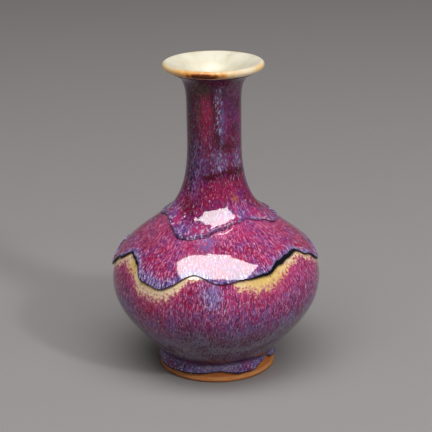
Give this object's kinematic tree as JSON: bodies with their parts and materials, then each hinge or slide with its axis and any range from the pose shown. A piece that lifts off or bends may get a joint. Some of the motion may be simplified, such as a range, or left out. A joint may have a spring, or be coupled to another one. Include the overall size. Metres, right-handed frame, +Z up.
{
  "type": "bottle vase",
  "caption": "Pear-shaped bottle vase with a slender neck, flared lip and turned foot ring, in layered running glazes.",
  "frame": {"origin": "middle of the foot, on the surface that the vase stands on", "axes": "+Z up the axis of the vase, -Y towards the pictured front"},
  "size_m": [0.0998, 0.0998, 0.15],
  "materials": {
    "fired_clay": "unglazed, matt",
    "slip_clay": "unglazed, matt",
    "plum_glaze": "glossy, streaked plum, violet and crimson",
    "rose_glaze": "glossy, streaked crimson and violet-blue",
    "cream_glaze": "glossy cream"
  },
  "bodies": {
    "root": {"lower_body": "fired_clay", "upper_body": "fired_clay", "neck": "fired_clay", "waist_luting_slip": "slip_clay", "neck_luting_slip": "slip_clay", "interior_glaze": "cream_glaze", "base_glaze": "cream_glaze", "lower_glaze": "plum_glaze", "shoulder_glaze": "rose_glaze", "neck_glaze": "rose_glaze"}
  },
  "joints": []
}
